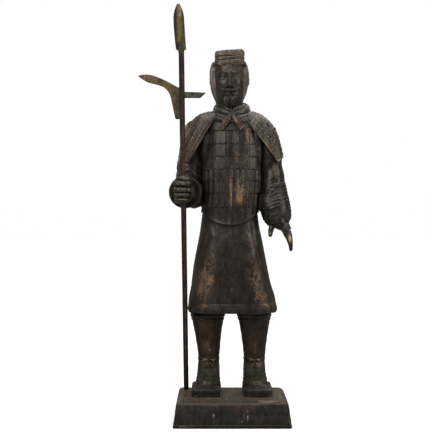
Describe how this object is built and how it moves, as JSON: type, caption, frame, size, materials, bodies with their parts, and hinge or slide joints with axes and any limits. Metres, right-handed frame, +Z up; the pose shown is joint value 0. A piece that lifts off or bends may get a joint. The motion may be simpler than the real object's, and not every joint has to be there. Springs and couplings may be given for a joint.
{
  "type": "bronze armoured warrior statue with halberd",
  "caption": "Standing armoured warrior in plated armour and long robe, gripping a halberd with a spear head and dagger-axe blade, on a low tapered plinth.",
  "frame": {"origin": "centre of the plinth's underside", "axes": "+Z up, the figure faces -Y, +X towards the figure's left hand; the halberd stands on the -X side"},
  "size_m": [0.3179, 0.2769, 0.8415],
  "materials": {
    "patinated_bronze": "dark brown-green patina, rubbed to copper and gold on raised edges",
    "base_bronze": "dark patina, browner and scuffed along the top edges",
    "painted_shaft": "satin dark red-brown",
    "blade_brass": "dull olive-brown patina over yellow metal"
  },
  "bodies": {
    "root": {"base": "base_bronze", "figure": "patinated_bronze", "halberd_shaft": "painted_shaft", "dagger_axe": "blade_brass", "spear_head": "blade_brass"}
  },
  "joints": []
}
